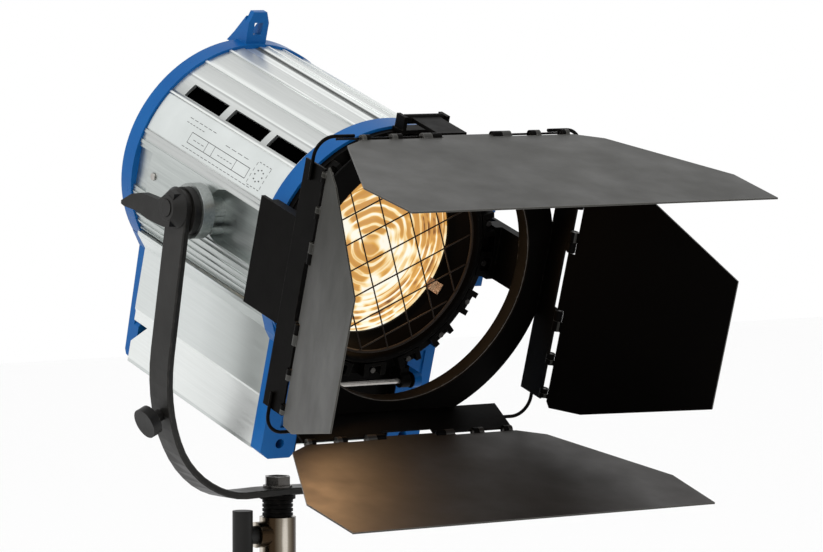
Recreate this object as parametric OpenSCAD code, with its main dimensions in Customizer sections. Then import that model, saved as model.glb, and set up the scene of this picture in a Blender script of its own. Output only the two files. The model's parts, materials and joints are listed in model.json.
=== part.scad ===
// Studio fresnel spotlight on a flat-bar yoke, with a rotating four-leaf barndoor.
// Frame: Z up along the stand socket, origin at the centre of the socket's mouth, beam towards -Y.
// The head is drawn in its own frame: optical axis along Y through the lens centre, beam towards -Y.
// The -X side, with the tilt lever, is called near, and the +X side far.

/* [Head] */
// Outer diameter of the ribbed lamp housing
body_d = 174; // [172:1:176]
// Length of the housing between the two castings
body_len = 168; // [160:1:176]
// Half width of the lower box
box_hw = 67; // [64:1:68]
// Depth of the lower box below the optical axis
box_drop = 147; // [140:1:148]
// Diameter of the lens
lens_d = 130; // [128:1:130]

/* [Yoke] */
// Height of the tilt axis above the middle of the yoke's foot
pivot_rise = 207.5; // [205:0.5:220]
// How far the tilt axis stands in front of the stand socket
pivot_lead = 40; // [38:0.5:42]
// Width of the flat bar
bar_w = 25; // [24:1:28]
// Thickness of the flat bar
bar_t = 5; // [5:0.5:6]
// Clear width between the yoke's arms
yoke_clear = 212; // [212:1:220]

/* [Stand socket] */
// Diameter of the stand's stud
stud_d = 16; // [16:16]
// Depth of the stud hole
socket_depth = 46; // [40:1:48]
// Outer diameter of the steel socket
socket_d = 26; // [25:0.5:27]

/* [Barndoor] */
// Inner diameter of the rotating drum
drum_id = 184; // [184:0.5:185]
// Distance of each hinge line from the optical axis
hinge_r = 109; // [108:0.5:111]
// Width of a large leaf at its widest
wide_leaf_w = 305; // [290:1:310]
// Length of a large leaf from its hinge line
wide_leaf_len = 153.5; // [140:0.5:160]
// Length of a small leaf from its hinge line
small_leaf_len = 136.5; // [125:0.5:140]

/* [Pose] */
// How far the head points down
head_tilt = 17.3; // [15:0.1:20]
// How far the top leaf stands open
top_open = 2.1; // [0:0.1:10]
// How far the bottom leaf stands open
bottom_open = -1.2; // [-5:0.1:10]
// How far the near side leaf stands open
near_open = 22.7; // [15:0.1:30]
// How far the far side leaf stands open
far_open = 18; // [15:0.1:30]

/* [Hidden] */
$fn = 96;

blue = [0.02, 0.33, 0.62];
silver = [0.80, 0.81, 0.82];
dark = [0.16, 0.15, 0.15];
steel = [0.55, 0.56, 0.58];
brass = [0.75, 0.60, 0.30];
white = [0.93, 0.93, 0.90];

run = 0.05;                             // radial clearance of a running fit
air = 0.3;                              // gap kept between parts that move past each other

// socket and yoke, in the socket's frame
socket_len = 52;
neck_len = 13;
neck_r = 11;
flange_t = 3;
foot_z = socket_len + neck_len + flange_t + bar_t / 2;
pivot_z = foot_z + pivot_rise;
bolt_r = 5;
clamp_z = socket_len - 12;
clamp_r = 4;
grip_x = 30;
arm_x = yoke_clear / 2 + bar_t / 2;
foot_half = 34;                         // half of the foot before the bends
foot_dip = 0.6;                         // how far the foot dips beside its flat middle
knob_dip = 7;                           // how far the knob's axis dips below square to the bar
elbow_h = 105;                          // height where the bend ends
rake_from = 6;                          // heights between which the arm takes up its forward rake
rake_to = 34;
rake = atan(pivot_lead / (pivot_rise - (rake_from + rake_to) / 2));
knob_h = 62.2;                          // height of the small knob above the foot

// head, in its own frame
pivot_y = 82;
pivot_up = 3;
stud_r = 5;
boss_r = 19.5;
boss_x = 91;
washer_t = 5.5;
washer_x = yoke_clear / 2 - washer_t - air;
hub_x = arm_x + bar_t / 2 + air;        // inner face of the tilt lever's hub
stud_depth = 6;                         // how far the stud's bore reaches into the hub
cap_at = 6.6;                           // where the cap sits in the hub
panel_end = 159;                        // where the flush part of the side rail ends
body_r = body_d / 2;
skin = 2.5;
y_front = 8;
y_rear = y_front + body_len;
y_back = y_rear + 13.5;
ring_out = 91.5;
ring_in = 79;
rear_out = 89;
leg_in = 38;
leg_drop = box_drop + 6;
rail_top = 21;                          // the recess along each side
rail_bottom = -18;
rail_floor = 77;
pocket_end = 82;
screw_seat = body_r - 0.4;              // the screw in each side rail
screw_y = 150.5;
screw_z = 0.5;
rail_a0 = -34;                          // angles of the side rail's edges
rail_a1 = 14;
vent_a = 44.7;
vent_w = 11;
vents = [[14, 53], [60.5, 106.5], [114.5, 161]];

// lamp carriage
rod_x0 = 35;
rod_z = -120;
rod_r = 4;
spindle_z = -112;
spindle_r = 5;
lamp_y = 75;

// lens door
lens_r = lens_d / 2;
door_out = 89.5;
door_back = -y_front - air;
rod_y = -20;
door_rod_z = -93.5;
door_rod_r = 2;
claw_in = 97;
claw_out = 100;
claw_front = -50;

// barndoor
drum_in = drum_id / 2;
drum_t = 1.5;
lip_in = drum_in + drum_t;
lip_out = lip_in + 2.9;                 // the lips at both ends of the drum
drum_front = -56;
drum_rear = -45.5;
hinge_y = -81;
pin_r = 1.5;
knuckle_r = 3;
leaf_t = 1.2;
plate_t = 1.5;
flange_r = hinge_r - 1;                 // inner face of the flanges that carry the hinges
plate_r = 112.5;
wide_root = 99.5;                       // where the wide leaves' flanges start on the plate
// along each half of a hinge: knuckles of the frame, knuckles of the leaf, and each pair together
fixed_knuckles = [[21.5, 28.8], [53.5, 57.3], [79.5, 82.6]];
leaf_knuckles = [[29.2, 36.5], [57.7, 61.5], [83, 86]];
knuckle_pairs = [for (i = [0:2]) [fixed_knuckles[i][0], leaf_knuckles[i][1]]];

// ---------- helpers ----------
module at_head() {
    translate([0, -pivot_lead, pivot_z])
        rotate([head_tilt, 0, 0])
            translate([0, -pivot_y, -pivot_up])
                children();
}
// a slab between two Y stations, its outline drawn in (x, z)
module slab(y0, y1) {
    translate([0, y1, 0]) rotate([90, 0, 0]) linear_extrude(height = y1 - y0) children();
}
// a slab between two X stations, its outline drawn in (y, z)
module slab_x(x0, x1) {
    translate([x0, 0, 0]) rotate([90, 0, 90]) linear_extrude(height = x1 - x0) children();
}
module rod_y(r, y0, y1, x = 0, z = 0) {
    translate([x, y1, z]) rotate([90, 0, 0]) cylinder(r = r, h = y1 - y0);
}
module rod_x(r, x0, x1, y = 0, z = 0) {
    translate([x0, y, z]) rotate([0, 90, 0]) cylinder(r = r, h = x1 - x0);
}
module block(lo, hi) {
    translate(lo) cube(hi - lo);
}
module ring_2d(r_in, r_out) {
    difference() {
        circle(r = r_out);
        circle(r = r_in);
    }
}
// the part of the plane between two angles
module wedge(a0, a1, r = 300) {
    n = 8;
    polygon(concat([[0, 0]], [for (i = [0:n]) let(a = a0 + (a1 - a0) * i / n) [r * cos(a), r * sin(a)]]));
}
module sector(r_in, r_out, a0, a1) {
    intersection() {
        ring_2d(r_in, r_out);
        wedge(a0, a1);
    }
}
module both_sides() {
    children();
    mirror([1, 0, 0]) children();
}
// a turned part around the optical axis, its section drawn in (radius, y)
module turned() {
    rotate([-90, 0, 0]) rotate_extrude() children();
}
// a bar laid along the housing at an angle of the circle
module along(a, r, w, h, y0, y1) {
    rotate([0, -a, 0]) block([r, y0, -w / 2], [r + h, y1, w / 2]);
}

// ---------- yoke and stand socket ----------
function lean(h) = rake * min(1, max(0, (h - rake_from) / (rake_to - rake_from)));
function lead(h) =
    h < rake_from ? 0 :
    h < rake_to ? tan(rake) * pow(h - rake_from, 2) / (2 * (rake_to - rake_from)) :
    tan(rake) * (h - (rake_from + rake_to) / 2);
// stations along one half of the bar: [x, height, outward x, outward z]
function elbow(t) = let(a = arm_x - foot_half, b = elbow_h + foot_dip, n = norm([a * cos(t), b * sin(t)]))
    [foot_half + a * sin(t), elbow_h - b * cos(t), b * sin(t) / n, -a * cos(t) / n];
half_path = concat(
    [[0, 0, 0, -1], [13.5, 0, 0, -1], [24, -foot_dip * 0.6, 0, -1], [foot_half, -foot_dip, 0, -1]],
    [for (t = [6:6:84]) elbow(t)],
    [[arm_x, elbow_h, 1, 0], [arm_x, 140, 1, 0], [arm_x, pivot_rise, 1, 0]]
);
path = concat(
    [for (i = [len(half_path) - 1:-1:1]) let(p = half_path[i]) [-p[0], p[1], -p[2], p[3]]],
    half_path
);
edge = 0.9;
// the bar's eight-sided section, with broken edges: [across the width, through the thickness]
bar_section = let(w = bar_w / 2, t = bar_t / 2) [
    [w, -t + edge], [w, t - edge], [w - edge, t], [-w + edge, t],
    [-w, t - edge], [-w, -t + edge], [-w + edge, -t], [w - edge, -t]
];
function bar_point(p, q) = let(h = p[1] + p[3] * q[1], l = lean(p[1]))
    [p[0] + p[2] * q[1], -lead(p[1]) + q[0] * cos(l) - p[3] * q[1] * sin(l), h + q[0] * sin(l)];
module bar_sweep() {
    n = len(bar_section);
    m = len(path);
    points = [for (p = path) for (q = bar_section) bar_point(p, q)];
    sides = [for (i = [0:m - 2]) for (j = [0:n - 1])
        [i * n + j, i * n + (j + 1) % n, (i + 1) * n + (j + 1) % n, (i + 1) * n + j]];
    first = [for (j = [n - 1:-1:0]) j];
    last = [for (j = [0:n - 1]) (m - 1) * n + j];
    polyhedron(points = points, faces = concat(sides, [first], [last]), convexity = 10);
}
// the arm knob's place: on the bend, facing out from the bar
knob_t = acos((elbow_h - knob_h) / (elbow_h + foot_dip));
knob_at = elbow(knob_t);
module at_knob() {
    translate([-knob_at[0], -lead(knob_h), foot_z + knob_h])
        rotate([0, atan2(-knob_at[2], knob_at[3]) - knob_dip, 0])
            children();
}
module yoke_bar() {
    color(dark) difference() {
        union() {
            translate([0, 0, foot_z]) bar_sweep();
            both_sides() rod_x(bar_w / 2, yoke_clear / 2, yoke_clear / 2 + bar_t, -pivot_lead, pivot_z);
        }
        both_sides() rod_x(stud_r + run, yoke_clear / 2 - 1, yoke_clear / 2 + bar_t + 1, -pivot_lead, pivot_z);
        translate([0, 0, foot_z - bar_t]) cylinder(r = bolt_r + 0.2, h = 2 * bar_t);
        at_knob() translate([0, 0, -10]) cylinder(r = 3 + run, h = 20);
    }
}
module foot_bolt() {
    top = foot_z + bar_t / 2;
    color(steel) difference() {
        union() {
            translate([0, 0, top + 1.6]) cylinder(r = 9.8, h = 6.4, $fn = 6);
            translate([0, 0, top]) cylinder(r = 10.5, h = 1.6);
            translate([0, 0, socket_len - 4]) cylinder(r = bolt_r - 0.1, h = top - socket_len + 5);
        }
        translate([0, 0, top + 7]) cylinder(r = 7, h = 2);
    }
}
module socket_neck() {
    color(dark) difference() {
        union() {
            translate([0, 0, socket_len]) cylinder(r = neck_r - 1, h = neck_len);
            for (i = [0:3]) translate([0, 0, socket_len + 0.8 + i * 3.2]) cylinder(r = neck_r, h = 1.8);
            translate([0, 0, socket_len + neck_len]) cylinder(r = 12.8, h = flange_t);
        }
        translate([0, 0, socket_len - 1]) cylinder(r = bolt_r, h = neck_len + flange_t + 2);
    }
}
module stand_socket() {
    color(steel) difference() {
        union() {
            cylinder(r = socket_d / 2, h = socket_len);
            rod_x(9.3, -19, 0, 0, clamp_z);
        }
        translate([0, 0, -1]) cylinder(r = stud_d / 2 + 0.1, h = socket_depth + 1);
        translate([0, 0, socket_depth - 1]) cylinder(r = bolt_r, h = socket_len);
        rod_x(clamp_r + run, -20, 0, 0, clamp_z);
    }
}
module clamp_screw() {
    color(steel) rod_x(clamp_r, -grip_x, -stud_d / 2 - 0.4, 0, clamp_z);
}
module clamp_handle() {
    color(dark) difference() {
        union() {
            translate([-grip_x, 0, clamp_z - 18]) cylinder(r = 7.3, h = 36);
            rod_x(6.5, -grip_x, -19 - air, 0, clamp_z);
        }
        rod_x(clamp_r, -grip_x, -15, 0, clamp_z);
    }
}
module arm_knob() {
    color(dark) at_knob() {
        translate([0, 0, -bar_t / 2 - 3]) cylinder(r = 3, h = bar_t + 6);
        translate([0, 0, bar_t / 2 + 1]) cylinder(r = 4.5, h = 8);
        translate([0, 0, bar_t / 2 + 8]) cylinder(r = 11, h = 7);
    }
}

// ---------- tilt pivot ----------
module lever_outline() {
    polygon([
        [-6, -12], [0, -14.3], [10, -15.4], [22, -16.2], [36, -15.4], [53, -17.8], [57, -17.4],
        [57.5, -15], [46, -6.2], [35, -1.5], [22.5, 0.2], [13, 1.2], [6.6, 6.5], [0, 13], [-6, 12]
    ]);
}
module tilt_lever() {
    color(dark) mirror([1, 0, 0]) difference() {
        union() {
            translate([hub_x, pivot_y, pivot_up]) rotate([0, 90, 0]) cylinder(r1 = 14.5, r2 = 9, h = 8);
            translate([0, pivot_y, pivot_up]) slab_x(hub_x + 0.7, hub_x + 7.3) lever_outline();
        }
        rod_x(stud_r + run, hub_x - 1, hub_x + stud_depth, pivot_y, pivot_up);
        rod_x(6.2, hub_x + cap_at, hub_x + 9, pivot_y, pivot_up);
    }
}
module lever_cap() {
    color(dark) mirror([1, 0, 0]) rod_x(6, hub_x + cap_at, hub_x + 8.6, pivot_y, pivot_up);
}
module far_pivot_knob() {
    color(dark) difference() {
        union() {
            rod_x(9, hub_x, hub_x + 5, pivot_y, pivot_up);
            rod_x(15, hub_x + 4, hub_x + 14, pivot_y, pivot_up);
        }
        rod_x(stud_r + run, hub_x - 1, hub_x + stud_depth, pivot_y, pivot_up);
        for (i = [0:7]) translate([hub_x + 3, pivot_y, pivot_up]) rotate([i * 45, 0, 0])
            translate([0, 17, 0]) rotate([0, 90, 0]) cylinder(r = 4, h = 12);
    }
}
module pivot_studs() {
    color(steel) both_sides() rod_x(stud_r, rail_floor, hub_x + stud_depth - air, pivot_y, pivot_up);
}
// the two rounded teeth of the clamp, seen in the front of the pocket's rear end
module teeth_outline() {
    for (z = [1.3, -11.6]) {
        translate([73.2, z]) circle(r = 3.2);
        polygon([[73.2, z - 3.2], [73.2, z + 3.2], [80, z + 3.2], [80, z - 3.2]]);
    }
}
// the pocket in each side rail, open to the front and round at its rear end
module pocket_outline() {
    half = (rail_top - rail_bottom) / 2;
    mid = (rail_top + rail_bottom) / 2;
    translate([pocket_end - half, mid]) circle(r = half);
    polygon([
        [y_front - 1, rail_bottom], [y_front - 1, rail_top],
        [pocket_end - half, rail_top], [pocket_end - half, rail_bottom]
    ]);
}
module pivot_bosses() {
    color(silver) both_sides() difference() {
        union() {
            rod_x(boss_r, boss_x, washer_x, pivot_y, 0);
            difference() {
                union() {
                    rod_x(11, rail_floor, boss_x + 0.5, pivot_y, 0);
                    slab_x(rail_floor, 86) teeth_outline();
                }
                difference() {
                    slab(y_front, y_rear) circle(r = body_r);
                    slab_x(rail_floor - 1, 95) pocket_outline();
                }
            }
        }
        rod_x(stud_r + 0.1, rail_floor - 1, yoke_clear / 2, pivot_y, pivot_up);
    }
}
module friction_washers() {
    color(dark) both_sides() difference() {
        rod_x(17, washer_x, washer_x + washer_t, pivot_y, 0);
        rod_x(stud_r + 0.1, washer_x - 1, washer_x + washer_t + 1, pivot_y, pivot_up);
    }
}

// ---------- castings ----------
module leg_2d() {
    polygon([
        [77, -49.4], [72, -61], [box_hw, -68], [box_hw, 5 - leg_drop], [box_hw - 7, -leg_drop],
        [leg_in + 4, -leg_drop], [leg_in, 4 - leg_drop], [leg_in, -82], [50, -62]
    ]);
}
module door_ear() {
    difference() {
        union() {
            rod_x(5.5, leg_in, leg_in + 7, rod_y, door_rod_z);
            block([leg_in, rod_y, door_rod_z - 5.5], [leg_in + 7, -4, door_rod_z + 5.5]);
        }
        rod_x(door_rod_r + run, leg_in - 1, leg_in + 8, rod_y, door_rod_z);
    }
}
module front_frame() {
    color(blue) difference() {
        union() {
            slab(-y_front, y_front) ring_2d(ring_in, ring_out);
            slab(-5, y_front) both_sides() difference() {
                leg_2d();
                circle(r = ring_in);
            }
            slab(4, y_front) difference() {
                polygon([[-40, -78], [40, -78], [40, -box_drop], [-40, -box_drop]]);
                circle(r = ring_in);
            }
            both_sides() door_ear();
            both_sides() for (z = [-31, 24]) block([86, -6, z], [96.4, 4, z + 10]);
        }
        both_sides() rod_y(3.5, -6, 9, 52, -142);
        both_sides() block([50, -6, -130], [54, -3, -120]);
        both_sides() block([45, -6, -113], [59, -3.5, -78]);
        rod_y(spindle_r + run, 3, 9, 0, spindle_z);
    }
}
module rear_2d() {
    circle(r = rear_out);
    both_sides() polygon([
        [0, -60], [71, -54], [63, -66], [60.5, -149], [50, -159.5], [0, -159.5]
    ]);
}
module lug() {
    difference() {
        slab(y_rear + 3, y_rear + 8)
            polygon([[-8.5, 84], [-8.5, 104], [-5.5, 112], [5.5, 112], [8.5, 104], [8.5, 84]]);
        slab(y_rear + 2, y_rear + 9) polygon([[-3.5, 95], [3.5, 95], [3.5, 104], [-3.5, 104]]);
    }
    both_sides() slab_x(6, 8.5)
        polygon([[y_rear + 8, 84], [y_rear + 27, 84], [y_rear + 20, 92], [y_rear + 8, 108]]);
}
module rear_frame() {
    color(blue) {
        difference() {
            slab(y_rear, y_back) rear_2d();
            slab(y_rear - 1, y_back + 1) {
                circle(r = ring_in);
                both_sides() polygon([[0, -50], [54, -50], [52.5, -139], [43, -148], [0, -148]]);
            }
            both_sides() slab(y_rear - 1, y_rear + 6)
                polygon([[68, -118], [57, -118], [68, -134]]);
            slab_x(-70, 70) polygon([[y_back + 1, -144], [y_back + 1, -160], [y_back - 9, -160]]);
        }
        lug();
    }
}

// ---------- housing ----------
module upper_housing() {
    color(silver) difference() {
        union() {
            slab(y_front, y_rear) sector(body_r - skin, body_r, rail_a1, 180 - rail_a1);
            for (a = [52, 61.5, 75, 84.3]) both_sides() along(a, body_r - 0.5, 2, 1.6, y_front, y_rear);
            both_sides() along(39.3, body_r - 0.5, 1.6, 1.3, y_front, y_rear);
            both_sides() along(17.6, body_r - 0.5, 2.6, 1.5, y_front, y_rear);
        }
        for (v = vents) both_sides() along(vent_a, body_r - 6, vent_w, 10, v[0], v[1]);
        along(93.3, body_r - 1.2, 12, 3, y_front - 1, y_rear + 1);
    }
}
module rail_profile() {
    sector(body_r - skin, body_r, rail_a0, rail_a1);
    intersection() {
        circle(r = body_r);
        wedge(rail_a0, rail_a1);
        polygon([[rail_floor - skin, -20.5], [90, -20.5], [90, 23.5], [rail_floor - skin, 23.5]]);
    }
}
module side_rail() {
    difference() {
        union() {
            slab(y_front, y_rear) rail_profile();
            for (i = [0:4]) along(-15.5 - i * 4.2, body_r - 0.5, 1.6, 1.4, y_front, y_rear);
            along(12.6, body_r - 0.5, 2.6, 1.4, y_front, y_rear);
            along(-12.6, body_r - 0.5, 1.6, 1.4, y_front, y_rear);
        }
        slab_x(rail_floor, 95) pocket_outline();
        rod_x(stud_r + 0.1, rail_floor, 95, pivot_y, pivot_up);
        rod_x(3, screw_seat, 95, screw_y, screw_z);
        block([84, panel_end, rail_bottom + 4], [95, y_rear + 1, rail_top - 6]);
        block([70, pocket_end + 8, rail_bottom], [81, y_rear + 1, rail_top]);
    }
}
module side_rail_near() {
    color(silver) mirror([1, 0, 0]) side_rail();
}
module side_rail_far() {
    color(silver) side_rail();
}
module lower_housing() {
    h = box_hw;
    color(silver) difference() {
        slab(y_front, y_rear) both_sides() polygon([
            [75.4, -49.5], [75.4, -52], [h, -63], [h, -109], [h - 1, -111], [h - 1, -box_drop],
            [h - 3.5, -box_drop], [h - 3.5, -110], [h - 2.5, -108], [h - 2.5, -61.5], [71, -51.5], [71, -49.5]
        ]);
        both_sides() slab_x(h - 5, h + 2)
            polygon([[y_rear + 1, -118], [y_rear - 18, -118], [y_rear + 1, -135]]);
    }
}
module bottom_cover() {
    color(silver) difference() {
        block([-box_hw + 1, y_front, -box_drop - 2.5], [box_hw - 1, y_rear, -box_drop]);
        for (i = [0:8]) both_sides() block([24, 22 + i * 16, -box_drop - 3], [56, 27 + i * 16, -box_drop + 1]);
        translate([15, 105, -box_drop - 3]) cylinder(r = 8, h = 4);
    }
}
module rear_cover() {
    color(dark) difference() {
        slab(y_rear, y_rear + 3) {
            circle(r = ring_in - 0.2);
            both_sides() polygon([[0, -50], [53.8, -50], [52.3, -138.9], [42.9, -147.8], [0, -147.8]]);
        }
        rod_y(spindle_r + run, y_rear - 1, y_rear + 4, 0, spindle_z);
        for (i = [-3:3]) block([-40, y_rear - 1, i * 11 + 10], [40, y_rear + 4, i * 11 + 14]);
    }
}
module rating_plate() {
    color(white) slab(y_front + 1, y_rear - 1) mirror([1, 0, 0]) sector(body_r, body_r + 0.4, 19, 38.2);
}
module vent_baffle() {
    color(dark) slab(y_front, y_rear) sector(80, 81.2, 25, 155);
}
module housing_screws() {
    color(steel) {
        both_sides() rod_x(2.6, screw_seat, body_r + 1.2, screw_y, screw_z);
        for (a = [30, 90, 150, 210, 330]) rotate([0, -a, 0]) rod_y(2.4, y_back, y_back + 1.2, 84, 0);
        both_sides() rod_y(2.4, y_back, y_back + 1.2, 58, -120);
    }
}

// ---------- lamp, reflector and focus drive ----------
module guide_rods() {
    color(steel) both_sides() rod_y(rod_r, y_front, y_rear, rod_x0, rod_z);
}
module focus_spindle() {
    color(steel) {
        rod_y(spindle_r, 4, y_back + 15, 0, spindle_z);
        rod_y(8, y_front + air, y_front + 2, 0, spindle_z);
    }
}
module focus_knob() {
    color(dark) difference() {
        rod_y(14, y_back + 2, y_back + 19, 0, spindle_z);
        rod_y(spindle_r, y_back + 1, y_back + 15, 0, spindle_z);
        for (i = [0:11]) translate([0, 0, spindle_z]) rotate([0, i * 30, 0])
            rod_y(2, y_back + 4, y_back + 20, 15, 0);
    }
}
module carriage() {
    color(steel) difference() {
        union() {
            block([-46, 48, -127], [46, 108, -105]);
            block([-22, lamp_y - 20, -105.5], [22, lamp_y + 20, -96]);
            block([-20, 103, -105.5], [20, 108, -60]);
        }
        both_sides() rod_y(rod_r + run, 47, 109, rod_x0, rod_z);
        rod_y(spindle_r + run, 47, 109, 0, spindle_z);
        both_sides() block([10, 54, -128], [24, 102, -109]);
    }
}
module lamp_holder() {
    color(white) translate([0, lamp_y, 0]) difference() {
        translate([0, 0, -96]) cylinder(r = 19, h = 26);
        both_sides() translate([6.5, 0, -84]) cylinder(r = 2.6, h = 20);
    }
}
module lamp() {
    color([0.9, 0.95, 1, 0.4]) translate([0, lamp_y, 0]) {
        rotate_extrude() polygon([
            [0, -46], [13, -46], [13.5, -40], [13.5, 18], [10.5, 25], [5, 28.5], [0, 29.5],
            [0, 28], [4.5, 27.2], [9.5, 24], [12.3, 17.6], [12.3, -44.5], [0, -44.5]
        ]);
        translate([0, 0, -69.8]) cylinder(r = 15, h = 24);
        both_sides() translate([6.5, 0, -82]) cylinder(r = 2.4, h = 14);
    }
}
module lamp_filament() {
    color(steel) translate([0, lamp_y, 0]) {
        for (i = [-2:2]) translate([i * 4, 0, -9]) cylinder(r = 1.1, h = 18, $fn = 8);
        translate([-9, 0, -11]) rotate([0, 90, 0]) cylinder(r = 0.8, h = 18, $fn = 8);
        both_sides() translate([8, 0, -44.5]) cylinder(r = 0.8, h = 34.3, $fn = 8);
    }
}
module reflector() {
    ball = 46;
    color(silver) {
        translate([0, lamp_y, 0]) rotate([-90, 0, 0]) rotate_extrude() intersection() {
            ring_2d(ball, ball + 1.5);
            polygon([[0, 22], [60, 22], [60, 60], [0, 60]]);
        }
        block([-9, lamp_y + 28, -60], [9, lamp_y + 32, -36]);
    }
}
module cable_gland() {
    color(dark) difference() {
        union() {
            translate([15, 105, -box_drop - 9]) cylinder(r = 10, h = 6.5, $fn = 6);
            translate([15, 105, -box_drop - 3]) cylinder(r = 7.8, h = 10);
            translate([15, 105, -box_drop]) cylinder(r = 11, h = 4);
        }
        translate([15, 105, -box_drop - 10]) cylinder(r = 5.2, h = 20);
    }
}
module cable_boot() {
    color(dark) translate([15, 105, -box_drop]) {
        translate([0, 0, -36]) cylinder(r1 = 4.6, r2 = 6.4, h = 27);
        for (i = [0:4]) translate([0, 0, -33 + i * 5]) cylinder(r = 6.6, h = 2.2);
        translate([0, 0, -9]) cylinder(r = 5, h = 16);
    }
}

// ---------- lens door ----------
module door_hinge_rod() {
    color(steel) rod_x(door_rod_r, -leg_in - 8, leg_in + 8, rod_y, door_rod_z);
}
module lens_door() {
    color(dark) difference() {
        union() {
            turned() polygon([
                [62.5, 0], [62.5, -2], [75, -22], [77.5, -22], [77.5, -13], [door_out, -13],
                [door_out, door_back], [72, door_back], [70, 9], [lens_r + 0.2, 9], [lens_r + 0.2, 0]
            ]);
            for (i = [0:17]) rotate([0, i * 20 + 6, 0]) block([79, -21, -9], [door_out - 1, -12, 9]);
            both_sides() {
                rod_x(5, 29, 36, rod_y, door_rod_z);
                block([29, rod_y, door_rod_z - 2], [36, -9, -78]);
            }
        }
        for (i = [0:17]) rotate([0, i * 20 + 6, 0]) block([81.5, -22, -5], [door_out + 1, -17, 5]);
        both_sides() rod_x(door_rod_r + run, 28, 37, rod_y, door_rod_z);
        both_sides() block([leg_in - 1, -30, door_rod_z - 7], [leg_in + 8, -4, door_rod_z + 7]);
    }
}
// a stepped lens: flat at the back, cut into rings at the front
lens_steps = 12;
function lens_edge(i) = 6 + (lens_r - 7) * i / lens_steps;
module lens() {
    steps = [for (i = [0:lens_steps - 1]) each [
        [lens_edge(i), i == 0 ? 1.2 : 1.6],
        [lens_edge(i + 1) - 0.4, 1.6 + 0.22 * (i + 1)]
    ]];
    color([0.95, 0.97, 1, 0.5]) turned() polygon(concat(
        [[0, 8.8], [0, 0.9]], steps, [[lens_r, 1], [lens_r, 8.8]]
    ));
}
module lens_clips() {
    color(brass) for (a = [28, 148, 268]) rotate([0, a, 0]) translate([0, 0, -4]) linear_extrude(height = 8)
        polygon([[58, -2.3], [62.3, -2.3], [66.7, -9.3], [65.8, -9.3], [61.9, -3.2], [58, -3.2]]);
}
module guard_ring() {
    color(steel) turned() polygon([
        [69, -20], [69.5, -21], [70.8, -21], [71.3, -20], [70.8, -19], [69.5, -19]
    ]);
}
module wire_guard() {
    wire_r = 0.55;
    color(steel) rotate([0, -25.4, 0]) for (i = [-3:2]) {
        at = 3.5 + i * 20.3;
        half = sqrt(pow(68.9, 2) - pow(abs(at) + wire_r, 2));
        translate([-half, -20 + wire_r, at]) rotate([0, 90, 0]) cylinder(r = wire_r, h = 2 * half, $fn = 8);
        translate([at, -20 - wire_r, -half]) cylinder(r = wire_r, h = 2 * half, $fn = 8);
    }
}
module door_screws() {
    color(steel) for (i = [0:17]) rotate([0, i * 20 + 6, 0]) rod_y(2, -19, -17, 85.3, 0);
}
// the side plate from z0 to z1, its web, and a flange across each end of a long plate
module claw(z0, z1, flanges) {
    difference() {
        union() {
            block([claw_in, claw_front, z0], [claw_out, 0, z1]);
            block([door_out - 2, -21, -20], [claw_in + 0.5, -9, 18.5]);
            block([claw_in - 4, claw_front, -20], [claw_in + 0.5, -20, 18.5]);
            for (z = flanges) block([92, claw_front, z], [claw_in + 0.5, -9, z + 3]);
        }
        turned() polygon([
            [0, -60], [lip_in + 0.7, -60], [lip_in + 0.7, drum_rear - 3], [lip_out + 0.5, drum_rear - 3],
            [lip_out + 0.5, drum_rear + 0.5], [0, drum_rear + 0.5]
        ]);
        turned() polygon([[0, -23], [door_out, -23], [door_out, 0], [0, 0]]);
    }
}
module claws() {
    color(dark) {
        mirror([1, 0, 0]) claw(-36, 41, [-36, 38]);
        claw(-20, 18.5, []);
    }
}
module clip_bracket() {
    color(dark) {
        difference() {
            block([-8, -20, 82], [32, -9, 92]);
            turned() polygon([[0, -23], [door_out, -23], [door_out, 0], [0, 0]]);
        }
        for (x = [-7, 28]) block([x, -20, 90.5], [x + 3, -10, 101.5]);
        rod_x(1.6, -7, 31, -15, 98.5);
    }
}
module top_clip() {
    color(dark) difference() {
        union() {
            rod_x(3.4, -3.6, 27.6, -15, 98.5);
            block([0, drum_rear - 5.3, 98], [24, -15, 100.5]);
            block([4, drum_rear - 5.3, 95.2], [20, drum_rear - 3.1, 99]);
        }
        rod_x(1.6 + run, -5, 29, -15, 98.5);
    }
}

// ---------- barndoor ----------
module each_side() {
    for (a = [0, 90, 180, 270]) rotate([0, a, 0]) children();
}
module barndoor_drum() {
    color(dark) turned() polygon([
        [drum_in, drum_front], [drum_in, drum_rear], [lip_out, drum_rear], [lip_out, drum_rear - 2.5],
        [lip_in, drum_rear - 2.5], [lip_in, drum_front + 1], [lip_out, drum_front + 1], [lip_out, drum_front]
    ]);
}
module frame_2d() {
    difference() {
        intersection() {
            circle(r = plate_r);
            square([2 * flange_r, 2 * wide_root], center = true);
        }
        circle(r = drum_in + 0.5);
    }
}
// the flange that carries one hinge, drawn for the top side; it starts at root on the frame's plate
module hinge_flange(root) {
    front = hinge_y + 1.5;
    difference() {
        slab_x(-88, 88) polygon([
            [drum_front, root], [drum_front, root + plate_t], [front, flange_r + plate_t], [front, flange_r]
        ]);
        block([-21, hinge_y, 95], [21, hinge_y + 6, 120]);
        for (k = leaf_knuckles) both_sides() block([k[0] - air, hinge_y, 95], [k[1] + air, hinge_y + 3.5, 120]);
    }
    for (k = fixed_knuckles) both_sides() {
        rod_x(knuckle_r, k[0], k[1], hinge_y, hinge_r);
        block([k[0], hinge_y, flange_r], [k[1], hinge_y + 2, flange_r + plate_t]);
    }
}
module barndoor_frame() {
    color(dark) difference() {
        union() {
            slab(drum_front - plate_t, drum_front) frame_2d();
            for (a = [0, 180]) rotate([0, a, 0]) hinge_flange(wide_root);
            for (a = [90, 270]) rotate([0, a, 0]) hinge_flange(flange_r);
        }
        each_side() both_sides() rod_x(pin_r + run, 20, 88, hinge_y, hinge_r);
    }
}
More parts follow.
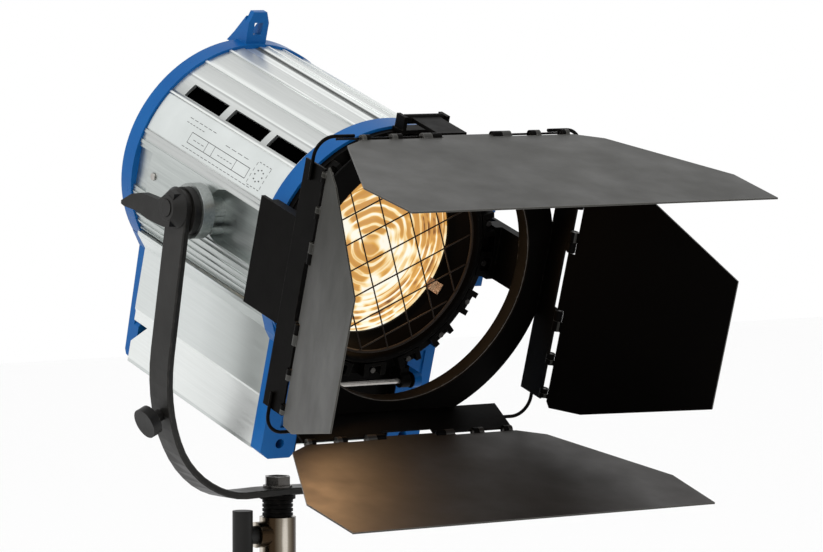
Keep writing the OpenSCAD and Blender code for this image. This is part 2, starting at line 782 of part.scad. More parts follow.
// a rod around each corner, lying on the outside of the two flanges
module corner_wires() {
    w = 1.25;
    bend = 14;
    at_x = flange_r + plate_t + w + 0.05;
    at_z = at_x - 4.8;
    color(steel) for (a = [0, 1], b = [0, 1]) mirror([a, 0, 0]) mirror([0, 0, b]) translate([0, -66, 0]) {
        translate([at_x - bend, 0, at_z]) rotate([0, -90, 0]) cylinder(r = w, h = 16, $fn = 12);
        translate([at_x, 0, at_z - bend]) rotate([0, 180, 0]) cylinder(r = w, h = 16, $fn = 12);
        translate([at_x - bend, 0, at_z - bend]) rotate([90, 0, 0])
            rotate_extrude(angle = 90) translate([bend, 0]) circle(r = w, $fn = 12);
    }
}
module hinge_pins() {
    color(steel) each_side() both_sides() for (k = knuckle_pairs)
        rod_x(pin_r, k[0] + 0.3, k[1] - 0.3, hinge_y, hinge_r);
}
// a leaf on the top hinge: outline in (across, away from the hinge), open by an angle
module leaf(outline, open) {
    translate([0, hinge_y, hinge_r]) rotate([-open, 0, 0]) difference() {
        union() {
            translate([0, 0, leaf_t / 2]) rotate([180, 0, 0]) linear_extrude(height = leaf_t) {
                polygon(outline);
                translate([-20.7, -1.5]) square([41.4, 6]);
                for (k = leaf_knuckles) both_sides() translate([k[0], 0]) square([k[1] - k[0], 4.5]);
            }
            for (k = leaf_knuckles) both_sides() rod_x(knuckle_r, k[0], k[1]);
        }
        both_sides() rod_x(pin_r + run, 28, 88);
    }
}
module wide_leaf(open) {
    w = wide_leaf_w / 2;
    leaf([[-88, 4], [-107, 15], [-w, 102], [2.5 - w, wide_leaf_len], [w - 2.5, wide_leaf_len], [w, 102],
        [107, 15], [88, 4]], open);
}
module small_leaf(open) {
    leaf([[-88, 4], [-92, 7], [-87.5, 33.7], [-46.5, small_leaf_len], [46.5, small_leaf_len],
        [87.5, 33.7], [92, 7], [88, 4]], open);
}
module leaf_top() {
    color(dark) wide_leaf(top_open);
}
module leaf_bottom() {
    color(dark) rotate([0, 180, 0]) wide_leaf(bottom_open);
}
module leaf_near() {
    color(dark) rotate([0, -90, 0]) small_leaf(near_open);
}
module leaf_far() {
    color(dark) rotate([0, 90, 0]) small_leaf(far_open);
}

yoke_bar();
foot_bolt();
socket_neck();
stand_socket();
clamp_handle();
clamp_screw();
arm_knob();
at_head() tilt_lever();
at_head() lever_cap();
at_head() far_pivot_knob();
at_head() pivot_studs();
at_head() pivot_bosses();
at_head() friction_washers();
at_head() front_frame();
at_head() rear_frame();
at_head() upper_housing();
at_head() side_rail_near();
at_head() side_rail_far();
at_head() lower_housing();
at_head() bottom_cover();
at_head() rear_cover();
at_head() rating_plate();
at_head() vent_baffle();
at_head() housing_screws();
at_head() guide_rods();
at_head() focus_spindle();
at_head() focus_knob();
at_head() carriage();
at_head() lamp_holder();
at_head() lamp();
at_head() lamp_filament();
at_head() reflector();
at_head() cable_gland();
at_head() cable_boot();
at_head() door_hinge_rod();
at_head() lens_door();
at_head() lens();
at_head() lens_clips();
at_head() guard_ring();
at_head() wire_guard();
at_head() door_screws();
at_head() claws();
at_head() clip_bracket();
at_head() top_clip();
at_head() barndoor_drum();
at_head() barndoor_frame();
at_head() corner_wires();
at_head() hinge_pins();
at_head() leaf_top();
at_head() leaf_bottom();
at_head() leaf_near();
at_head() leaf_far();
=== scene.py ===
"""Studio fresnel spotlight: materials, detail pieces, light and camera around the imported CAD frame."""
import json
import math

import bpy
from mathutils import Matrix, Vector


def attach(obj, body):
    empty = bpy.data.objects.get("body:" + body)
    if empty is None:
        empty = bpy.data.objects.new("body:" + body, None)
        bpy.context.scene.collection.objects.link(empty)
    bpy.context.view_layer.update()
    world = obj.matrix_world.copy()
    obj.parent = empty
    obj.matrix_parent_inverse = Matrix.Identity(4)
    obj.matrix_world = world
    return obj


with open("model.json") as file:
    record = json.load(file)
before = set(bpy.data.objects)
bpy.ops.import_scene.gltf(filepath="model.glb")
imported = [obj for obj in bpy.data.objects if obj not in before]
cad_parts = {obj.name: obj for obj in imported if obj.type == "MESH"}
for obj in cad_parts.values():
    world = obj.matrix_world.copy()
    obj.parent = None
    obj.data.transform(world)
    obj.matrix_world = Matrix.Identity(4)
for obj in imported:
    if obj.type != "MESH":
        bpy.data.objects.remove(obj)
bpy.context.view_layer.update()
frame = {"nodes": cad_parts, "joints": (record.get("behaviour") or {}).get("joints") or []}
MM = 0.001  # the frame is in metres

# ---------------------------------------------------------------- places, from the frame
NODES = frame["nodes"]
BARNDOOR_TURN = next(j for j in frame["joints"] if j["name"] == "barndoor_turn")
LENS_TO_BARNDOOR = 50 * MM

# The head's frame: origin at the lens, the beam along its -Y, the near side at its -X.
BEAM = Vector(BARNDOOR_TURN["axis"]).normalized()
TILT = math.atan2(-BEAM.z, -BEAM.y)
LENS = Vector(BARNDOOR_TURN["pos_m"]) - LENS_TO_BARNDOOR * BEAM
HEAD = Matrix.Translation(LENS) @ Matrix.Rotation(TILT, 4, "X")


# ---------------------------------------------------------------- material tools
EDGE_WEAR = 0.9 * MM
ALL_WAYS = (1, 1, 1)  # for brushed metal whose grain has no direction


class Shader:
    """A node material under construction, with a Principled surface."""

    def __init__(self, name):
        self.mat = bpy.data.materials.new(name)
        self.mat.use_nodes = True
        self.tree = self.mat.node_tree
        self.surface = self.tree.nodes["Principled BSDF"]

    def set(self, **values):
        """Constant values of the surface, with underscores for the spaces in their names."""
        for key, value in values.items():
            self.surface.inputs[key.replace("_", " ")].default_value = value
        return self

    def node(self, kind, links=None, values=None, **attrs):
        """A new node with its inputs linked or set, by name or number."""
        n = self.tree.nodes.new(kind)
        for key, value in attrs.items():
            setattr(n, key, value)
        for key, value in (values or {}).items():
            n.inputs[key].default_value = value
        for key, source in (links or {}).items():
            self.tree.links.new(source, n.inputs[key])
        return n

    def to(self, source, socket):
        """Links a socket to one of the surface's inputs."""
        self.tree.links.new(source, self.surface.inputs[socket])

    def coords(self, head=False, scale=(1, 1, 1)):
        """Object coordinates in metres, in the whole light's frame or turned into the head's."""
        out = self.node("ShaderNodeTexCoord").outputs["Object"]
        if head:
            inv = HEAD.inverted()
            out = self.node("ShaderNodeMapping", {"Vector": out}, {
                "Location": inv.to_translation(), "Rotation": inv.to_euler()}).outputs[0]
        if tuple(scale) != (1, 1, 1):
            out = self.node("ShaderNodeMapping", {"Vector": out}, {"Scale": scale}).outputs[0]
        return out

    def split(self, vector):
        """The three coordinates of a vector."""
        return self.node("ShaderNodeSeparateXYZ", {"Vector": vector}).outputs

    def noise(self, vector, scale, detail=3.0, rough=0.55):
        return self.node("ShaderNodeTexNoise", {"Vector": vector}, {
            "Scale": scale, "Detail": detail, "Roughness": rough}).outputs["Fac"]

    def math(self, op, a, b=None, c=None):
        """A sum on sockets or plain numbers."""
        n = self.node("ShaderNodeMath", operation=op)
        for i, v in enumerate((a, b, c)):
            if v is None:
                continue
            if isinstance(v, (int, float)):
                n.inputs[i].default_value = v
            else:
                self.tree.links.new(v, n.inputs[i])
        return n.outputs[0]

    def ramp(self, fac, *stops):
        """Colours by place along fac."""
        n = self.node("ShaderNodeValToRGB", {"Fac": fac})
        ramp = n.color_ramp
        while len(ramp.elements) < len(stops):
            ramp.elements.new(0.5)
        for element, (place, colour) in zip(ramp.elements, stops):
            element.position = place
            element.color = (*colour, 1.0)
        return n.outputs["Color"]

    def spread(self, fac, low, high, out_low, out_high):
        """fac from low to high, stretched to go from out_low to out_high and held beyond them."""
        return self.node("ShaderNodeMapRange", {"Value": fac}, {
            "From Min": low, "From Max": high, "To Min": out_low, "To Max": out_high}).outputs[0]

    def mix(self, fac, a, b):
        """Colour a where fac is 0 and b where it is 1."""
        n = self.node("ShaderNodeMix", data_type="RGBA")
        for key, v in ((0, fac), (6, a), (7, b)):
            if isinstance(v, (int, float)):
                n.inputs[key].default_value = v
            elif isinstance(v, tuple):
                n.inputs[key].default_value = (*v, 1.0)
            else:
                self.tree.links.new(v, n.inputs[key])
        return n.outputs[2]

    def bump(self, *layers, bevel=0.0):
        """Stacks (height, strength, distance in metres) layers, over rounded edges if bevel is set."""
        normal = None
        if bevel:
            normal = self.node("ShaderNodeBevel", values={"Radius": bevel}, samples=4).outputs[0]
        for height, strength, distance in layers:
            links = {"Height": height}
            if normal is not None:
                links["Normal"] = normal
            normal = self.node("ShaderNodeBump", links, {
                "Strength": strength, "Distance": distance}).outputs[0]
        self.to(normal, "Normal")

    def edges(self, width):
        """1 near outside corners, 0 on flats."""
        bevel = self.node("ShaderNodeBevel", values={"Radius": width}, samples=4).outputs[0]
        flat = self.node("ShaderNodeNewGeometry").outputs["Normal"]
        dot = self.node("ShaderNodeVectorMath", {0: bevel, 1: flat}, operation="DOT_PRODUCT")
        return self.spread(dot.outputs["Value"], 0.99, 0.80, 0.0, 1.0)

    def drift(self, p, colour, dust):
        """Paint that wanders slowly between two close colours."""
        return self.mix(self.spread(self.noise(p, 22, 4), 0.35, 0.7, 0.0, 1.0), colour, dust)

    def chip_and_glint_edges(self, p, base, wear_and_glint):
        """Paint turned to the given colour here and there along its outside corners: chipped paint, and on
        the drum's enamel a painted glint.
        """
        chips = self.spread(self.noise(p, 260, 4), 0.50, 0.62, 0.0, 0.7)
        return self.mix(self.math("MULTIPLY", self.edges(EDGE_WEAR), chips), base, wear_and_glint)


def painted(name, colour, dust, rough, peel=0.06, head=True, specular=0.5, wear_and_glint=None, metallic=0.0):
    """Sprayed or moulded finish: slight colour drift, orange peel, and marked outside corners if given a
    colour for them: chipped paint on most finishes, a painted glint on the drum's enamel.
    """
    s = Shader(name)
    p = s.coords(head)
    base = s.drift(p, colour, dust)
    if wear_and_glint:
        base = s.chip_and_glint_edges(p, base, wear_and_glint)
    s.to(base, "Base Color")
    s.to(s.spread(s.noise(p, 60, 4), 0.3, 0.7, rough - 0.06, rough + 0.07), "Roughness")
    s.set(Specular_IOR_Level=specular, Metallic=metallic)
    s.bump((s.noise(p, 1500, 2), peel, 0.25 * MM), (s.noise(p, 300, 2), peel * 0.8, 0.5 * MM), bevel=0.5 * MM)
    return s.mat


def brushed(name, colour, shade, rough, along=(1, 0.01, 1), lines=2600, depth=0.08):
    """Bare or anodised metal with fine lines, long where the scale in along is small."""
    s = Shader(name)
    p = s.coords(True)
    stretched = s.node("ShaderNodeMapping", {"Vector": p}, {"Scale": along}).outputs[0]
    streak = s.noise(stretched, lines, 3, 0.7)
    broad = s.noise(stretched, lines / 12, 3, 0.6)
    cloud = s.noise(p, 30, 4)
    tone = s.math("ADD", s.math("MULTIPLY", streak, 0.55), s.math("MULTIPLY", broad, 0.45))
    s.to(s.mix(s.spread(tone, 0.35, 0.65, 0.0, 1.0), shade, colour), "Base Color")
    s.to(s.math("ADD", s.spread(tone, 0.3, 0.7, rough - 0.05, rough + 0.06),
                s.spread(cloud, 0.3, 0.7, -0.03, 0.04)), "Roughness")
    s.set(Metallic=1.0)
    s.bump((streak, depth, 0.2 * MM), bevel=0.4 * MM)
    return s.mat


def lit(name, colour, strength, **values):
    """Something that shines by itself."""
    return Shader(name).set(Emission_Color=(*colour, 1), Emission_Strength=strength, **values).mat


def dress(material, *names):
    """Gives CAD nodes their finish without touching their meshes."""
    for name in names:
        for slot in NODES[name].material_slots:
            slot.link = "OBJECT"
            slot.material = material


# ---------------------------------------------------------------- mesh tools
def add_object(name, data):
    obj = bpy.data.objects.new(name, data)
    bpy.context.collection.objects.link(obj)
    return obj


def add_piece(name, mesh, body, material):
    """A new piece of the light, from a mesh in the head's frame, which rides on a body."""
    mesh.transform(HEAD)
    mesh.materials.append(material)
    obj = add_object(name, mesh)
    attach(obj, body)


def smooth(mesh):
    """Smooth shading, but sharp at edges of more than 35 degrees."""
    for polygon in mesh.polygons:
        polygon.use_smooth = True
    mesh.set_sharp_from_angle(angle=math.radians(35))


def mesh_from(name, points, faces):
    mesh = bpy.data.meshes.new(name)
    mesh.from_pydata(points, [], faces)
    mesh.update()
    return mesh


def spin(name, section, turns):
    """A ring turned around the Y axis from a closed (radius, y) section that runs anticlockwise."""
    n = len(section)
    points = []
    faces = []
    for i in range(turns):
        a = 2 * math.pi * i / turns
        points += [(r * math.cos(a), y, r * math.sin(a)) for r, y in section]
        k = (i + 1) % turns
        for j in range(n):
            m = (j + 1) % n
            faces.append((i * n + j, i * n + m, k * n + m, k * n + j))
    return mesh_from(name, points, faces)


# ---------------------------------------------------------------- materials
def turned_material():
    """Turned steel tube: fine rings, and soft lighter and darker stripes down its length that are painted
    reflections.
    """
    s = Shader("turned_steel")
    p = s.coords()
    x, y, _ = s.split(p)
    # Painted reflections: lighter and darker stripes by angle around the tube's axis.
    painted_light_bands = s.math("SINE", s.math("MULTIPLY_ADD", s.math("ARCTAN2", x, y), 4.0, 0.9))
    tone = s.math("ADD", s.spread(painted_light_bands, -1, 1, 0, 1), s.math("MULTIPLY_ADD", s.noise(p, 25, 3), 0.3, -0.15))
    colour = s.ramp(tone, (0.10, (0.035, 0.022, 0.012)), (0.45, (0.11, 0.09, 0.065)),
                    (0.80, (0.22, 0.19, 0.15)), (0.95, (0.62, 0.57, 0.50)))
    s.to(colour, "Base Color")
    rings = s.noise(s.coords(False, (0.02, 0.02, 1)), 5200, 2)
    s.to(s.spread(rings, 0.3, 0.7, 0.20, 0.34), "Roughness")
    s.set(Metallic=1.0)
    s.bump((rings, 0.12, 0.1 * MM), bevel=0.3 * MM)
    return s.mat


BLUE_PAINT = (0.003, 0.078, 0.27)
BLUE_DUST = (0.006, 0.10, 0.31)
BLUE_WEAR = (0.03, 0.17, 0.40)

BLUE = painted("casting_blue_paint", BLUE_PAINT, BLUE_DUST, 0.30, 0.10, specular=0.10, wear_and_glint=BLUE_WEAR)
SILVER = brushed("profile_brushed", (0.70, 0.73, 0.715), (0.58, 0.61, 0.60), 0.34)
RAIL = brushed("rail_brushed", (0.56, 0.59, 0.575), (0.40, 0.43, 0.42), 0.34)
CAST = brushed("boss_casting", (0.40, 0.42, 0.41), (0.24, 0.26, 0.25), 0.36, ALL_WAYS, lines=500)
BLACK = painted("black_enamel", (0.001, 0.0008, 0.0006), (0.002, 0.0016, 0.0013), 0.42, 0.12, specular=0.035,
                wear_and_glint=(0.03, 0.026, 0.022))
# Painted highlight: the drum enamel's edge colour is a light grey glint along its rims, not chipped paint.
RIM = painted("drum_enamel", (0.0012, 0.0008, 0.0006), (0.003, 0.002, 0.0016), 0.34, 0.08, specular=0.06,
              wear_and_glint=(0.30, 0.28, 0.25))
VOID = painted("unlit_baffle", (0.0002, 0.0002, 0.0002), (0.0004, 0.0004, 0.0004), 0.9, 0.0, specular=0.0)
YOKE = painted("yoke_enamel", (0.008, 0.0075, 0.0065), (0.014, 0.013, 0.0115), 0.42, 0.14, head=False,
               specular=0.20, wear_and_glint=(0.12, 0.11, 0.10))
PLASTIC = painted("black_moulded", (0.004, 0.0036, 0.003), (0.007, 0.0065, 0.0055), 0.46, 0.22, specular=0.24,
                  wear_and_glint=(0.03, 0.03, 0.028))
DARK_STEEL = brushed("blackened_steel", (0.11, 0.105, 0.10), (0.06, 0.055, 0.05), 0.30, ALL_WAYS, lines=900)
STEEL = brushed("plain_steel", (0.50, 0.48, 0.45), (0.34, 0.32, 0.30), 0.30, ALL_WAYS, lines=900)
WIRE = painted("heat_darkened_wire", (0.008, 0.004, 0.002), (0.018, 0.010, 0.005), 0.45, 0.05, specular=0.25)
# Painted highlight: light grey for the thin rings that stand for glints along the drum's front edge.
HIGHLIGHT_RING = painted("drum_highlight_ring", (0.07, 0.063, 0.055), (0.12, 0.11, 0.10), 0.35, 0.05, specular=0.6)
PLATE = painted("plate_print", (0.62, 0.65, 0.64), (0.55, 0.58, 0.57), 0.40, 0.03, metallic=0.5)
INK = painted("printed_ink", (0.02, 0.02, 0.02), (0.04, 0.04, 0.04), 0.6, 0.02, specular=0.2)
QUARTZ = lit("lamp_quartz", (1, 0.8, 0.5), 2.0, Base_Color=(1, 0.9, 0.7, 1), Roughness=0.1)
FILAMENT = lit("filament_glow", (1, 0.75, 0.4), 8.0)
CERAMIC = painted("ceramic_bisque", (0.78, 0.75, 0.68), (0.70, 0.67, 0.60), 0.6, 0.05)
MIRROR = brushed("polished_reflector", (0.9, 0.9, 0.9), (0.82, 0.82, 0.82), 0.12, ALL_WAYS, lines=1200,
                 depth=0.02)
COPPER = brushed("copper_clip", (0.85, 0.55, 0.34), (0.62, 0.36, 0.20), 0.28, ALL_WAYS, lines=1500)
RUBBER = painted("boot_rubber", (0.012, 0.012, 0.012), (0.018, 0.018, 0.018), 0.62, 0.10)


def leaf_material(name, inward, inside, inner_gloss=0.03, fade=False):
    """Barndoor leaf: grey enamel outside, blackened on the side that faces the beam and darkened further
    there with painted shade.

    inward is the way to the beam in the head's frame, and inside how light the blackened side is painted, set
    leaf by leaf for the shade it lies in.
    With fade the outside is glossier towards its lower end, a painted sheen.
    """
    s = Shader(name)
    p = s.coords(True)
    normal = s.node("ShaderNodeTexCoord").outputs["Normal"]
    toward = s.node("ShaderNodeVectorMath", {0: normal}, {1: HEAD.to_3x3() @ Vector(inward)},
                    operation="DOT_PRODUCT").outputs["Value"]
    inner = s.spread(toward, 0.45, 0.55, 0.0, 1.0)
    cloud = s.spread(s.noise(p, 9, 3), 0.35, 0.65, 0.0, 1.0)
    outer = s.mix(cloud, (0.016, 0.0155, 0.0125), (0.021, 0.0205, 0.0165))
    # Painted shade: how dark the beam side is, set leaf by leaf over its black finish.
    dark = s.mix(cloud, (inside, inside * 0.8, inside * 0.65), (inside * 1.4, inside * 1.1, inside * 0.9))
    scuffed = s.mix(s.edges(EDGE_WEAR), outer, (0.10, 0.095, 0.085))
    s.to(s.mix(inner, scuffed, dark), "Base Color")
    gloss = s.node("ShaderNodeMix", {"Factor": inner}, {2: 0.40, 3: inner_gloss}, data_type="FLOAT")
    # Painted sheen: the outside reflects more towards its lower end.
    if fade:
        _, _, height = s.split(p)
        s.tree.links.new(s.spread(height, 80 * MM, -70 * MM, 0.10, 0.52), gloss.inputs[2])
    s.to(gloss.outputs[0], "Specular IOR Level")
    s.to(s.spread(s.noise(p, 30, 4), 0.3, 0.7, 0.42, 0.54), "Roughness")
    s.bump((s.noise(p, 900, 2), 0.10, 0.1 * MM))
    return s.mat


def front_casting_material():
    """The blue casting, with painted shade: its web between the legs darkened to near black, where the
    barndoor's shadow falls.
    """
    web_half_width = 39 * MM
    web_top = -72 * MM
    s = Shader("front_casting_paint")
    p = s.coords(True)
    x, _, z = s.split(p)
    inside = s.spread(s.math("ABSOLUTE", x), web_half_width + 0.5 * MM, web_half_width - 0.5 * MM, 0.0, 1.0)
    below = s.spread(z, web_top, web_top - 4 * MM, 0.0, 1.0)
    # Painted shade: the web between the legs, where the barndoor's shadow falls, is painted near black over
    # the blue.
    painted_shade_mask = s.math("MULTIPLY", inside, below)
    blue = s.chip_and_glint_edges(p, s.drift(p, BLUE_PAINT, BLUE_DUST), BLUE_WEAR)
    s.to(s.mix(painted_shade_mask, blue, (0.0015, 0.0012, 0.001)), "Base Color")
    s.to(s.spread(painted_shade_mask, 0, 1, 0.10, 0.02), "Specular IOR Level")
    s.set(Roughness=0.30)
    s.bump((s.noise(p, 1500, 2), 0.10, 0.25 * MM), bevel=0.5 * MM)
    return s.mat


def lower_side_material():
    """The box's sides, with painted light and shade: a bright strip below the step, and above it a greyer one
    that darkens to the front.
    """
    step_z = -109 * MM
    dark_end_y = 12 * MM
    light_end_y = 90 * MM
    s = Shader("box_side_brushed")
    _, y, z = s.split(s.coords(True))
    # Painted light and shade: brighter below the step, darker above it towards the front.
    low = s.spread(z, step_z + 0.5 * MM, step_z - 0.5 * MM, 0.0, 1.0)
    front = s.spread(y, light_end_y, dark_end_y, 0.0, 1.0)
    upper = s.mix(front, (0.66, 0.69, 0.68), (0.44, 0.47, 0.455))
    tone = s.mix(low, upper, (0.80, 0.825, 0.81))
    grain = s.noise(s.coords(True, (60, 1.2, 60)), 14, 3)
    s.to(s.mix(s.spread(grain, 0.3, 0.7, 0.0, 0.12), tone, (0.40, 0.42, 0.41)), "Base Color")
    s.to(s.spread(grain, 0.3, 0.7, 0.30, 0.40), "Roughness")
    s.set(Metallic=0.85)
    s.bump((grain, 0.06, 0.1 * MM), bevel=0.35 * MM)
    return s.mat


def fluted_material():
    """The housing's extruded profile: brushed metal with painted highlights along the flute ridges and
    painted shade beside them, set by angle around the circle.
    """
    # Angle up from the side in degrees, and how light the metal is painted there, with the painted highlights
    # and shade.
    painted_light_bands = [(0, 0.55), (20.2, 0.50), (38.3, 0.62), (39.2, 0.90), (40.4, 0.42), (50.6, 0.66), (51.6, 0.36),
             (52.2, 0.92), (53.4, 0.60), (60.2, 0.55), (61.2, 0.80), (62.6, 0.90), (64.5, 0.60), (74.0, 0.56),
             (75.2, 0.92), (76.6, 0.66), (83.4, 0.62), (84.4, 0.94), (86.0, 0.74), (88.2, 0.95), (89.2, 0.16),
             (90.0, 0.30)]
    s = Shader("profile_fluted")
    x, _, z = s.split(s.coords(True))
    angle = s.math("DIVIDE", s.math("ARCTAN2", z, s.math("ABSOLUTE", x)), math.pi / 2)
    tone = s.ramp(angle, *((a / 90, (v, v * 1.03, v * 1.01)) for a, v in painted_light_bands))
    grain = s.noise(s.coords(True, (60, 1.5, 60)), 14, 3)
    s.to(s.mix(s.spread(grain, 0.3, 0.7, 0.0, 0.22), tone, (0.42, 0.44, 0.43)), "Base Color")
    s.to(s.spread(grain, 0.3, 0.7, 0.28, 0.42), "Roughness")
    s.set(Metallic=0.85)
    s.bump((grain, 0.10, 0.1 * MM), bevel=0.35 * MM)
    return s.mat


def lens_material():
    """Pressed glass that glows with the lamp's light painted on it: broad gold patches, cream rings over
    them, and thin brown rings towards the rim.
    """
    s = Shader("lens_lit_glass")
    p = s.coords(True)
    x, _, z = s.split(p)
    radius = s.math("SQRT", s.math("ADD", s.math("MULTIPLY", x, x), s.math("MULTIPLY", z, z)))

    def ripple(distance, pitch):
        """Rings that go from 0 to 1 and back once in a pitch."""
        wave = s.math("SINE", s.math("MULTIPLY", distance, 2 * math.pi / pitch))
        return s.math("MULTIPLY_ADD", wave, 0.5, 0.5)

    warp = s.math("MULTIPLY_ADD", s.noise(p, 30, 2), 14 * MM, -7 * MM)
    swirl = ripple(s.math("ADD", radius, warp), 7.0 * MM)
    rings = ripple(radius, 4.4 * MM)
    low = s.spread(z, 15 * MM, -25 * MM, 0.10, -0.10)
    patches = s.math("ADD", s.noise(p, 20, 2, 0.5), low)
    gold = s.spread(patches, 0.44, 0.50, 0.0, 1.0)
    rim = s.spread(radius, 34 * MM, 46 * MM, 0.0, 1.0)
    broken = s.spread(s.noise(p, 55, 2), 0.38, 0.60, 0.2, 1.0)
    arcs = s.math("MULTIPLY", s.math("POWER", swirl, 3.0), s.spread(radius, 4 * MM, 12 * MM, 0.0, 1.0))
    inner = s.math("MULTIPLY", gold, s.math("MULTIPLY_ADD", arcs, -0.50, 0.56))
    streaks = s.math("MULTIPLY", s.math("MULTIPLY", swirl, broken), 0.34)
    outer = s.math("MULTIPLY", s.math("MULTIPLY", s.math("POWER", rings, 1.6), broken), rim)
    amount = s.math("MAXIMUM", s.math("MAXIMUM", inner, streaks), outer)
    colour = s.ramp(amount, (0.10, (1.0, 0.95, 0.82)), (0.24, (0.98, 0.80, 0.46)), (0.42, (0.76, 0.41, 0.10)),
                    (0.66, (0.50, 0.23, 0.07)), (0.92, (0.14, 0.06, 0.025)))
    # Painted light: the glass glows in these colours for the lamp's light coming through it.
    s.to(colour, "Emission Color")
    s.set(Base_Color=(0.03, 0.02, 0.01, 1), Emission_Strength=1.0)
    s.set(Specular_IOR_Level=0.25, Roughness=0.12, IOR=1.5)
    s.bump((rings, 0.15, 0.4 * MM))
    return s.mat


dress(BLUE, "rear_frame")
dress(front_casting_material(), "front_frame")
dress(fluted_material(), "upper_housing")
dress(lower_side_material(), "lower_housing")
dress(SILVER, "bottom_cover", "carriage")
dress(RAIL, "side_rail_near", "side_rail_far")
dress(CAST, "pivot_bosses")
dress(VOID, "vent_baffle")
dress(BLACK, "rear_cover", "socket_neck", "lens_door", "claws", "clip_bracket", "top_clip",
      "barndoor_frame", "corner_wires")
dress(RIM, "barndoor_drum")
# The inside values are painted shade set leaf by leaf, darkest on the far leaf; the bottom leaf's inner gloss
# and the near leaf's fade are painted sheen.
dress(leaf_material("leaf_top_enamel", (0, 0, -1), 0.004), "leaf_top")
dress(leaf_material("leaf_bottom_enamel", (0, 0, 1), 0.013, inner_gloss=0.22), "leaf_bottom")
dress(leaf_material("leaf_near_enamel", (1, 0, 0), 0.004, fade=True), "leaf_near")
dress(leaf_material("leaf_far_enamel", (-1, 0, 0), 0.0012), "leaf_far")
dress(YOKE, "yoke_bar")
dress(PLASTIC, "clamp_handle", "arm_knob", "tilt_lever", "far_pivot_knob", "friction_washers", "focus_knob",
      "lever_cap", "cable_gland")
dress(DARK_STEEL, "foot_bolt", "clamp_screw", "door_screws", "hinge_pins")
dress(STEEL, "pivot_studs", "housing_screws", "guide_rods", "focus_spindle", "door_hinge_rod")
dress(WIRE, "guard_ring", "wire_guard")
dress(turned_material(), "stand_socket")
dress(PLATE, "rating_plate")
dress(QUARTZ, "lamp")
dress(FILAMENT, "lamp_filament")
dress(CERAMIC, "lamp_holder")
dress(MIRROR, "reflector")
dress(COPPER, "lens_clips")
dress(RUBBER, "cable_boot")
dress(lens_material(), "lens")


# ---------------------------------------------------------------- detail pieces, in the head's frame
# Lengths here are in millimetres until they become points.
PLATE_R = 87.42  # radius of the printed face
HIGHLIGHT_RING_RADII = (92.5, 95.9)  # inner and outer edge of the drum's front, where the painted highlight rings sit


def printed_patch(y0, y1, a0, a1):
    """One mark on the housing's near side, from y0 to y1 along it and from a0 to a1 degrees up from -X."""
    steps = max(1, round(abs(a1 - a0) / 2))
    points = []
    for i in range(steps + 1):
        a = math.radians(a0 + (a1 - a0) * i / steps)
        points += [(-PLATE_R * MM * math.cos(a), y * MM, PLATE_R * MM * math.sin(a)) for y in (y0, y1)]
    return points, [(2 * i, 2 * i + 1, 2 * i + 3, 2 * i + 2) for i in range(steps)]


def printed_marks():
    """Plain boxes, rules and dashes: a data plate with no lettering on it."""
    line = 0.45
    arc = math.degrees(line / PLATE_R)

    # The large frame, its cross lines, and rows of dashes as (angle, start, end, pitch).
    low, high = 23, 28.2
    marks = [(51, 127, a, a + arc) for a in (low, high)]
    marks += [(y, y + line, low, high + arc) for y in (51, 68, 96, 105, 126.6)]
    for a, y0, y1, dash in ((20.6, 42, 133, 5), (31.2, 58, 92, 8), (33.6, 104, 140, 6), (31.2, 116, 140, 4),
                            (25.4, 71, 93, 4), (25.4, 108, 122, 5)):
        y, inked = y0, dash * 0.7
        while y + inked <= y1:
            marks.append((y, y + inked, a, a + arc * 0.9))
            y += dash

    # A small square in dashes with a ring of dots in it.
    for k in range(4):
        along, up = 31 + 4.2 * k, 22.4 + 2.9 * k
        marks += [(along, along + 2.4, a, a + arc) for a in (21.5, 33)]
        marks += [(y, y + line, up, up + 1.6) for y in (30.6, 47)]
    for k in range(8):
        turn = math.pi * k / 4
        y, a = 39 + 4.5 * math.cos(turn), 27.4 + 2.9 * math.sin(turn)
        marks.append((y - 0.7, y + 0.7, a - 0.3, a + 0.3))

    points, faces = [], []
    for mark in marks:
        new_points, new_faces = printed_patch(*mark)
        faces += [tuple(v + len(points) for v in face) for face in new_faces]
        points += new_points
    return mesh_from("data_plate_marks", points, faces)


def drum_highlight_ring(radius):
    """A thin raised ring around the front edge of the barndoor's drum, light grey as a painted highlight."""
    wire_r = 0.35
    edge_y = -56
    corners = [math.radians(60 * k) for k in range(6)]
    section = [((radius + wire_r * math.cos(c)) * MM, (edge_y + wire_r * math.sin(c)) * MM) for c in corners]
    ring = spin("drum_highlight_ring", section, 144)
    smooth(ring)
    return ring


add_piece("data_plate_marks", printed_marks(), "head", INK)
# Painted highlight: two light rings along the drum's front edge.
for number, highlight_ring_r in enumerate(HIGHLIGHT_RING_RADII):
    add_piece(f"drum_highlight_ring_{number}", drum_highlight_ring(highlight_ring_r), "barndoor", HIGHLIGHT_RING)


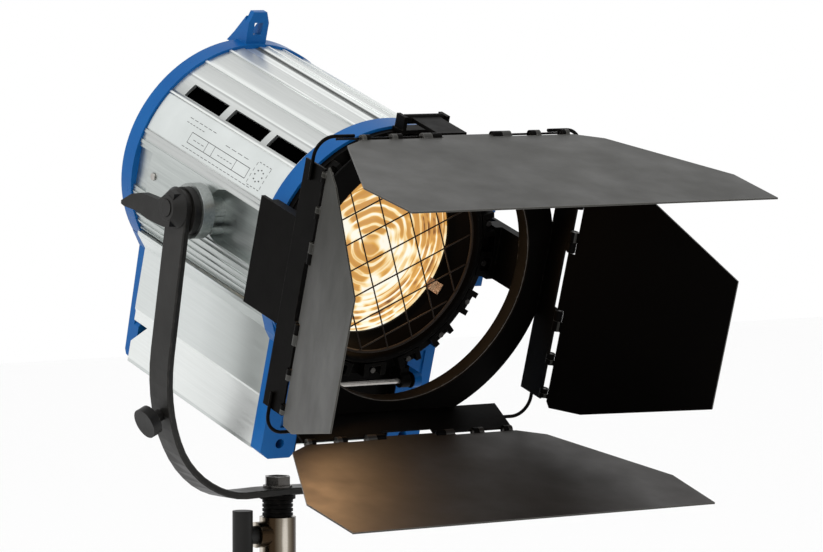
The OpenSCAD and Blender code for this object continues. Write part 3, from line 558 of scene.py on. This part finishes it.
# ---------------------------------------------------------------- stage
FLOOR_HALF = 6
FLOOR_Z = -0.42


def add_floor():
    corners = [(-1, -1), (1, -1), (1, 1), (-1, 1)]
    mesh = mesh_from("floor", [(x * FLOOR_HALF, y * FLOOR_HALF, FLOOR_Z) for x, y in corners], [(0, 1, 2, 3)])
    mesh.materials.append(Shader("floor_pale").set(Base_Color=(0.97, 0.97, 0.97, 1), Roughness=0.95).mat)
    add_object("floor", mesh)


def add_light(name, kind, place, target, power, colour, **settings):
    """An area light or a spot at a place, aimed at a target."""
    data = bpy.data.lights.new(name, kind)
    data.energy = power
    data.color = colour
    for key, value in settings.items():
        setattr(data, key, value)
    obj = add_object(name, data)
    obj.location = place
    obj.rotation_euler = (Vector(target) - Vector(place)).to_track_quat("-Z", "Y").to_euler()


def add_world():
    """An evenly white studio all round."""
    world = bpy.data.worlds.new("studio")
    bpy.context.scene.world = world
    world.use_nodes = True
    back = world.node_tree.nodes["Background"]
    back.inputs["Color"].default_value = (1, 1, 1, 1)
    back.inputs["Strength"].default_value = 1.0


def add_camera():
    """A long lens from the near side of the front, a little above the light."""
    data = bpy.data.cameras.new("camera")
    data.sensor_width = 36
    data.lens = 221.6
    data.clip_end = 30
    obj = add_object("camera", data)
    obj.location = (-2.009, -2.982, 0.467)
    obj.rotation_euler = (math.radians(86.13), 0, math.radians(-35.49))
    bpy.context.scene.camera = obj


add_floor()
add_world()
add_camera()
add_light("key", "AREA", (-1.6, -0.4, 1.6), (0, 0, 0.25), 14, (1, 1, 1), size=1.2)
# The lamp's own light: out of the lens, and onto the near corner of the bottom leaf.
add_light("lamp_glow", "AREA", LENS + 6 * MM * BEAM, LENS + BEAM, 0.05, (1.0, 0.52, 0.22), size=0.11)
add_light("leaf_glow", "SPOT", HEAD @ Vector((-0.03, -0.03, -0.02)), HEAD @ Vector((-0.115, -0.17, -0.108)),
          0.35, (1.0, 0.55, 0.25), spot_size=math.radians(62), spot_blend=1.0, shadow_soft_size=0.02)
bpy.context.scene.view_settings.view_transform = "Standard"
